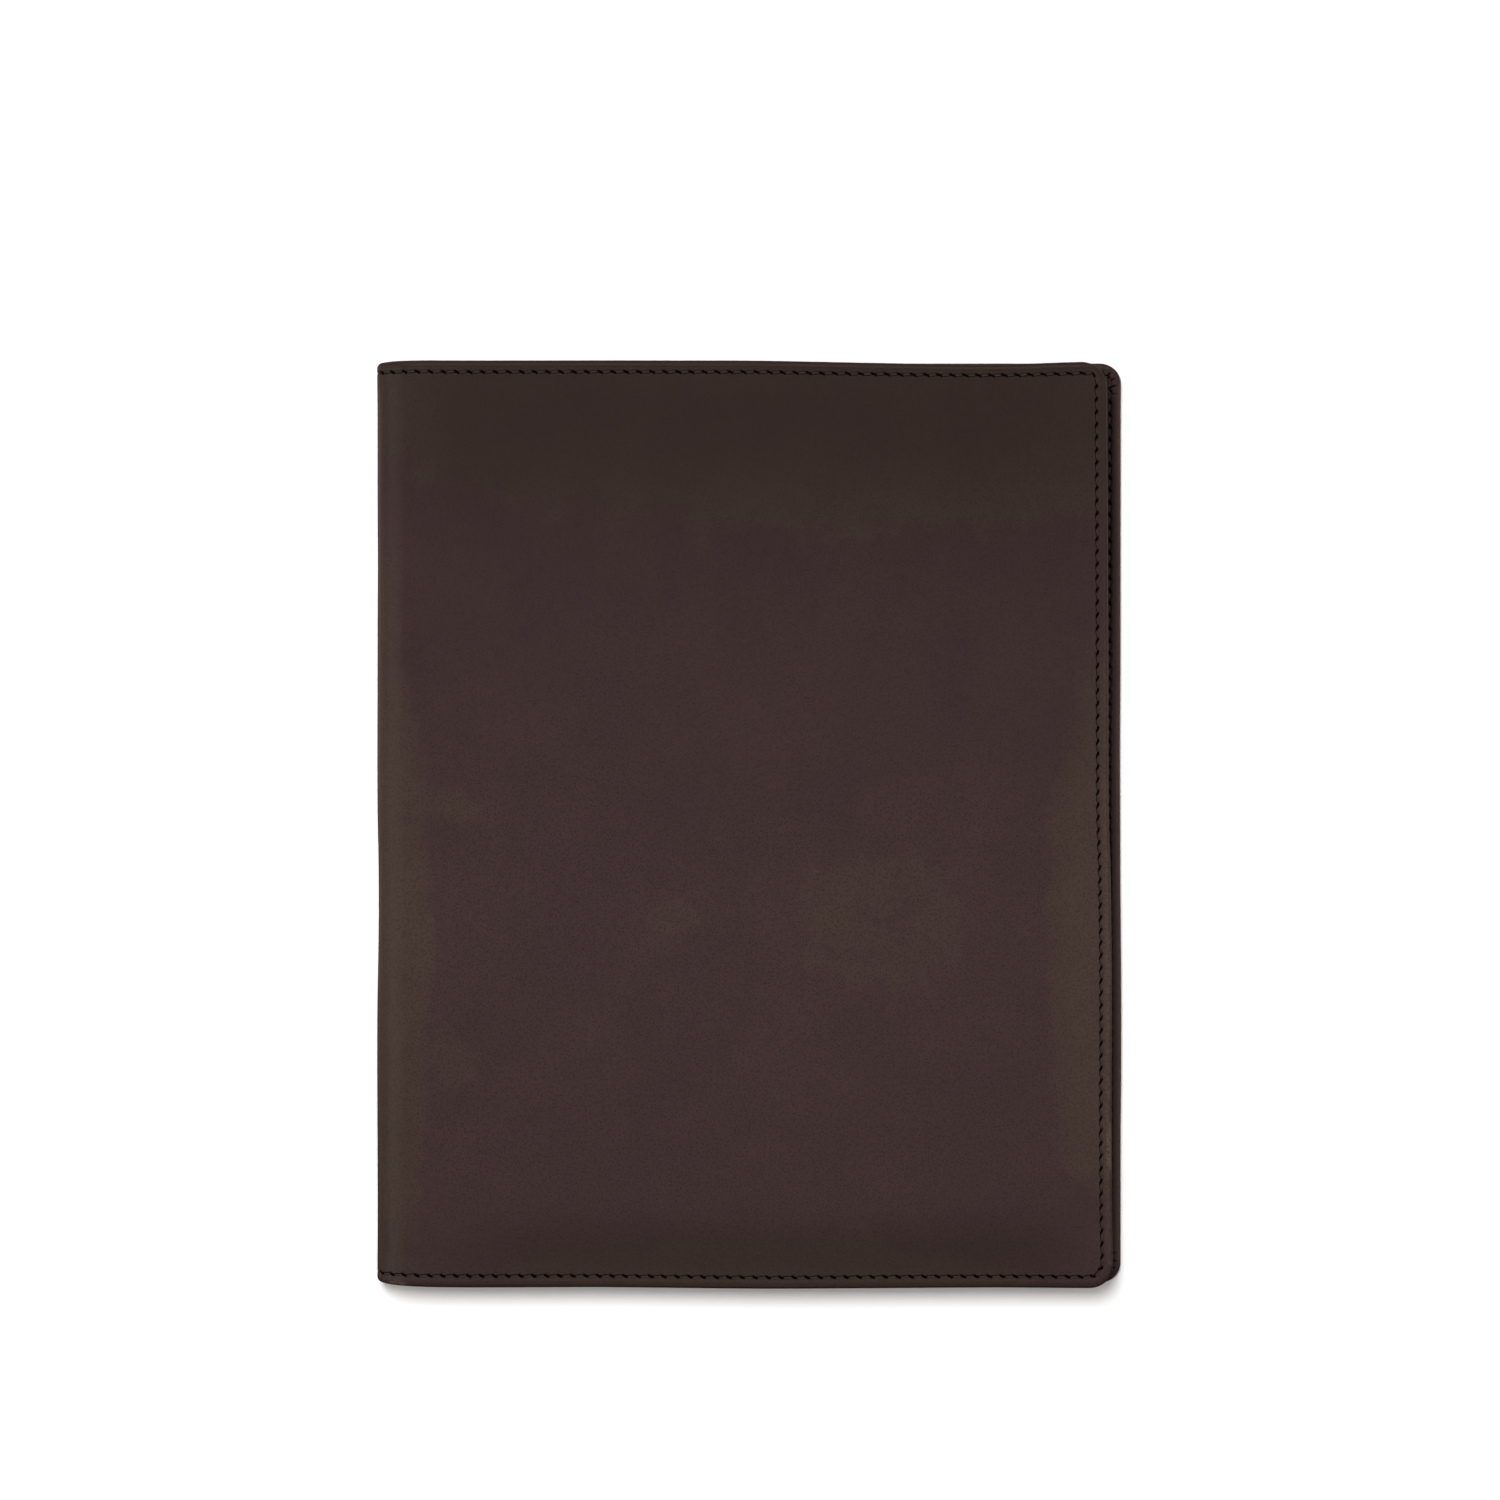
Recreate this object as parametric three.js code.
// Notepad folder: a leather case for a writing pad, folded once round a soft spine.
// It is closed and lies on its back cover. Millimetres, +Z up.
// X runs from the spine to the fore edge, and Y from the tail to the head.
// The origin is the middle of the folder's footprint, on the surface that it lies on.

import * as THREE from "three";

// Whole folder
const WIDTH = 255.8; // spine to the back cover's fore edge
const HEIGHT = 318; // tail to head
const THICKNESS = 16; // closed, with room for a pad between the covers
const FRONT_SHORT = 4; // the front cover ends this far short of the back cover at the tail
const FRONT_SKEW = 1.4; // and this much further short at the head
const SPINE_DEPTH = 13; // how far the rolled spine reaches out from the flat covers

// Leather and the panels inside it
const HIDE = 1.3;
const HEM = 1.1; // the hide is pared thinner where it is turned over
const HEM_WIDTH = 9;
const PANEL = 1.2;
const SEAT = 0.3; // clearance on each face of a panel
const POCKET = PANEL + 2 * SEAT; // between the hide and its hem
const POCKET_FADE = 8; // length over which the pocket closes into the spine
const PANEL_INSET = 3.2; // panel edge from the cover's edge
const PANEL_FROM_SPINE = 2; // panel edge from the start of the spine's roll

// Turned edges
const FRONT_CORNER = 8;
const BACK_CORNER = 6.5;
const EDGE_ROUND = 2.1; // how far in from the edge the rounding starts
const STITCH_INSET = 4;
const GROOVE_HALF = 1.2; // the stitch line lies in a shallow groove
const GROOVE = 0.3;
const FOLD_INSET = 1.4; // inside of the fold
const FOLD_ROUND = 0.6;
const FIELD_INSET = 14; // the plain field of a cover starts here
const PLEATS = 5; // gathers in the hem at each corner
const PLEAT = 0.35;

// How finely the curves are stepped
const ROUND_STEPS = 8;
const SPINE_STEPS = 12;
const CORNER_STEPS = 2 * PLEATS;

// How far the front cover's head and tail edges wander in from straight
const WANDER = [
  { x: -113, head: 0, tail: -0.7 },
  { x: -99, head: -0.3, tail: -0.5 },
  { x: -51, head: -0.25, tail: -0.6 },
  { x: 0, head: -0.3, tail: 0 },
  { x: 17, head: -0.6, tail: 0 },
  { x: 51, head: -1.1, tail: -0.25 },
  { x: 86, head: -1.3, tail: -0.45 },
  { x: 113, head: -0.6, tail: -0.2 },
];

const LEATHER = { color: "#3f302f", roughness: 0.5, metalness: 0 };
const PANEL_FACING = { color: "#2f2522", roughness: 0.8, metalness: 0 };

// The folder's outer face in section, in X and Z, from the front fore edge round the spine to the back
const spineX = -WIDTH / 2 + SPINE_DEPTH;
const backX = WIDTH / 2;
const frontX = backX - FRONT_SHORT;
const section = new THREE.CurvePath();
section.add(
  new THREE.LineCurve(new THREE.Vector2(frontX, THICKNESS), new THREE.Vector2(spineX, THICKNESS)),
);
section.add(
  new THREE.EllipseCurve(
    spineX,
    THICKNESS / 2,
    SPINE_DEPTH,
    THICKNESS / 2,
    Math.PI / 2,
    (3 * Math.PI) / 2,
  ),
);
section.add(new THREE.LineCurve(new THREE.Vector2(spineX, 0), new THREE.Vector2(backX, 0)));
const [frontEnd, spineEnd, wholeLength] = section.getCurveLengths();

// A blank is measured from its middle: S along the section and T along the height
const halfLength = wholeLength / 2;
const halfHeight = HEIGHT / 2;
const spineStart = frontEnd - halfLength;
const spineStop = spineEnd - halfLength;

// Straight-line reading of a table column between its rows
function readTable(rows, key, column, at) {
  const next = rows.findIndex((row) => row[key] >= at);
  if (next === -1) {
    return rows.at(-1)[column];
  }
  if (next === 0) {
    return rows[0][column];
  }
  const before = rows[next - 1];
  const after = rows[next];
  const share = (at - before[key]) / (after[key] - before[key]);
  return THREE.MathUtils.lerp(before[column], after[column], share);
}

// The blank's outline as stations: sides along -1 to 1 between the corner centres, and corner angles
function outlineStations(alongS, alongT) {
  const stations = [];
  const addCorner = (s, t, startAngle) => {
    for (let step = 0; step <= CORNER_STEPS; step += 1) {
      const angle = startAngle + (step / CORNER_STEPS) * (Math.PI / 2);
      stations.push({ s, t, angle, pleat: step % 2 });
    }
  };
  const addSide = (points, angle) => {
    points.forEach(([s, t]) => stations.push({ s, t, angle, pleat: 0 }));
  };
  const insideS = alongS.slice(1, -1);
  const insideT = alongT.slice(1, -1);
  addSide(insideT.map((t) => [1, t]), 0);
  addCorner(1, 1, 0);
  addSide(insideS.toReversed().map((s) => [s, 1]), Math.PI / 2);
  addCorner(-1, 1, Math.PI / 2);
  addSide(insideT.toReversed().map((t) => [-1, t]), Math.PI);
  addCorner(-1, -1, Math.PI);
  addSide(insideS.map((s) => [s, -1]), 1.5 * Math.PI);
  addCorner(1, -1, 1.5 * Math.PI);
  return stations;
}

// A station's place on the flat blank, moved in from the outline
function blankPoint(station, inset) {
  const corner = station.s < 0 ? FRONT_CORNER : BACK_CORNER;
  const radius = Math.max(corner - inset, 0);
  return {
    s: station.s * (halfLength - inset - radius) + radius * Math.cos(station.angle),
    t: station.t * (halfHeight - inset - radius) + radius * Math.sin(station.angle),
  };
}

// The pocket between hide and hem, which closes where the hide bends round the spine
function pocketDepth(s) {
  const intoSpine = Math.min(s - spineStart, spineStop - s);
  const closed = THREE.MathUtils.smoothstep(intoSpine, 0, POCKET_FADE);
  return THREE.MathUtils.lerp(POCKET, SEAT, closed);
}

// The flat blank's small faults, then its fold round the spine. Depth runs in from the outer face.
function foldedPoint(s, t, depth) {
  const onFront = THREE.MathUtils.clamp((spineStart - s) / frontEnd, 0, 1);
  const towardsHead = 0.5 + t / HEIGHT;
  const skewed = s + onFront * FRONT_SKEW * towardsHead;
  const share = (skewed + halfLength) / wholeLength;
  const place = section.getPoint(share);
  const tangent = section.getTangent(share);
  const side = t > 0 ? "head" : "tail";
  const fade = 1 - THREE.MathUtils.smoothstep(s, spineStart, spineStop);
  const wander = fade * readTable(WANDER, "x", side, place.x);
  return new THREE.Vector3(
    place.x - tangent.y * depth,
    t * (1 + wander / halfHeight),
    place.y + tangent.x * depth,
  );
}

// The turned edge in section: inset from the outline, and how much of each layer lies outside
function edgeProfile() {
  const outerFace = { hide: 0, pocket: 0, hem: 0, pleat: 0 };
  const hideBack = { hide: 1, pocket: 0, hem: 0, pleat: 0 };
  const hemBack = { hide: 1, pocket: 1, hem: 0, pleat: 0 };
  const hemFace = { hide: 1, pocket: 1, hem: 1, pleat: 1 };
  const groove = (face, dip) => [
    { ...face, inset: STITCH_INSET + GROOVE_HALF, dip: 0 },
    { ...face, inset: STITCH_INSET, dip },
    { ...face, inset: STITCH_INSET - GROOVE_HALF, dip: 0 },
  ];
  const round = [];
  for (let step = 0; step <= ROUND_STEPS; step += 1) {
    const turn = (step / ROUND_STEPS - 0.5) * Math.PI;
    const share = (1 + Math.sin(turn)) / 2;
    const pleat = Math.max(Math.sin(turn), 0);
    const inset = EDGE_ROUND * (1 - Math.cos(turn));
    round.push({ hide: share, pocket: share, hem: share, pleat, inset, dip: 0 });
  }
  return [
    { ...outerFace, inset: FIELD_INSET, dip: 0 },
    ...groove(outerFace, GROOVE),
    ...round,
    ...groove(hemFace, -GROOVE).toReversed(),
    { ...hemFace, pleat: 0, inset: HEM_WIDTH, dip: 0 },
    { ...hemBack, inset: HEM_WIDTH, dip: 0 },
    { ...hemBack, inset: FOLD_INSET + FOLD_ROUND, dip: 0 },
    { ...hemBack, pocket: 0.5, inset: FOLD_INSET, dip: 0 },
    { ...hideBack, inset: FOLD_INSET + FOLD_ROUND, dip: 0 },
    { ...hideBack, inset: FIELD_INSET, dip: 0 },
  ];
}

// A closed skin made of four-sided patches whose shared corners are welded
function makeSkin() {
  const positions = [];
  const faces = [];
  const known = new Map();
  const vertex = (point) => {
    const key = point.toArray().map((value) => value.toFixed(4)).join(" ");
    if (!known.has(key)) {
      known.set(key, positions.length / 3);
      positions.push(...point.toArray());
    }
    return known.get(key);
  };
  const triangle = (a, b, c) => {
    if (a !== b && b !== c && c !== a) {
      faces.push(a, b, c);
    }
  };
  const patch = (a, b, c, d) => {
    triangle(a, b, c);
    triangle(a, c, d);
  };
  const geometry = () => {
    const made = new THREE.BufferGeometry();
    made.setAttribute("position", new THREE.Float32BufferAttribute(positions, 3));
    made.setIndex(faces);
    made.computeVertexNormals();
    return made;
  };
  return { vertex, patch, geometry };
}

// Stations along the blank: at the front cover's faults, and finely round the spine
function lengthStations() {
  const frontCentre = halfLength - FRONT_CORNER;
  const backCentre = halfLength - BACK_CORNER;
  const front = WANDER.toReversed().map((row) => spineStart - (row.x - spineX));
  const spine = [];
  for (let step = 0; step <= SPINE_STEPS; step += 1) {
    spine.push(THREE.MathUtils.lerp(spineStart, spineStop, step / SPINE_STEPS));
  }
  const inside = [...front, ...spine].map((s) => s / (s < 0 ? frontCentre : backCentre));
  return [-1, ...inside, 1];
}

function leatherCover() {
  const alongS = lengthStations();
  const alongT = [-1, 0, 1];
  const skin = makeSkin();
  const place = (station, row) => {
    const flat = blankPoint(station, row.inset);
    const layers = row.hide * HIDE + row.pocket * pocketDepth(flat.s) + row.hem * HEM;
    const depth = layers + row.dip - PLEAT * row.pleat * station.pleat;
    return skin.vertex(foldedPoint(flat.s, flat.t, depth));
  };

  // The edges: the profile swept round the outline
  const stations = outlineStations(alongS, alongT);
  const rows = edgeProfile();
  const rings = rows.map((row) => stations.map((station) => place(station, row)));
  for (let row = 0; row + 1 < rows.length; row += 1) {
    for (let at = 0; at < stations.length; at += 1) {
      const next = (at + 1) % stations.length;
      skin.patch(rings[row][at], rings[row][next], rings[row + 1][next], rings[row + 1][at]);
    }
  }

  // The fields: a grid inside the first ring, on the outer face, and inside the last, on the inner one
  const field = (row, isOuter) => {
    const grid = alongS.map((s) => alongT.map((t) => place({ s, t, angle: 0, pleat: 0 }, row)));
    for (let i = 0; i + 1 < alongS.length; i += 1) {
      for (let j = 0; j + 1 < alongT.length; j += 1) {
        const round = [grid[i][j], grid[i][j + 1], grid[i + 1][j + 1], grid[i + 1][j]];
        skin.patch(...(isOuter ? round : round.toReversed()));
      }
    }
  };
  field(rows[0], true);
  field(rows.at(-1), false);
  return skin.geometry();
}

// A flat panel with rounded corners at the fore edge, square at the spine
function innerPanel(foreEdgeX, corner) {
  const left = spineX + PANEL_FROM_SPINE;
  const right = foreEdgeX - PANEL_INSET;
  const top = halfHeight - PANEL_INSET;
  const radius = corner - PANEL_INSET;
  const outline = new THREE.Shape();
  outline.moveTo(left, -top);
  outline.lineTo(right - radius, -top);
  outline.absarc(right - radius, radius - top, radius, -Math.PI / 2, 0, false);
  outline.lineTo(right, top - radius);
  outline.absarc(right - radius, top - radius, radius, 0, Math.PI / 2, false);
  outline.lineTo(left, top);
  outline.closePath();
  return new THREE.ExtrudeGeometry(outline, { depth: PANEL, bevelEnabled: false, curveSegments: 6 });
}

function namedMesh(name, geometry, finish, z) {
  const mesh = new THREE.Mesh(geometry, new THREE.MeshStandardMaterial(finish));
  mesh.name = name;
  mesh.position.z = z;
  return mesh;
}

const panelAboveBack = HIDE + SEAT;
const panelUnderFront = THICKNESS - HIDE - SEAT - PANEL;
const frontPanelX = frontX - FRONT_SKEW;

const folder = new THREE.Group();
folder.add(namedMesh("leather_cover", leatherCover(), LEATHER, 0));
folder.add(
  namedMesh("front_inner_panel", innerPanel(frontPanelX, FRONT_CORNER), PANEL_FACING, panelUnderFront),
);
folder.add(
  namedMesh("back_inner_panel", innerPanel(backX, BACK_CORNER), PANEL_FACING, panelAboveBack),
);

export default folder;
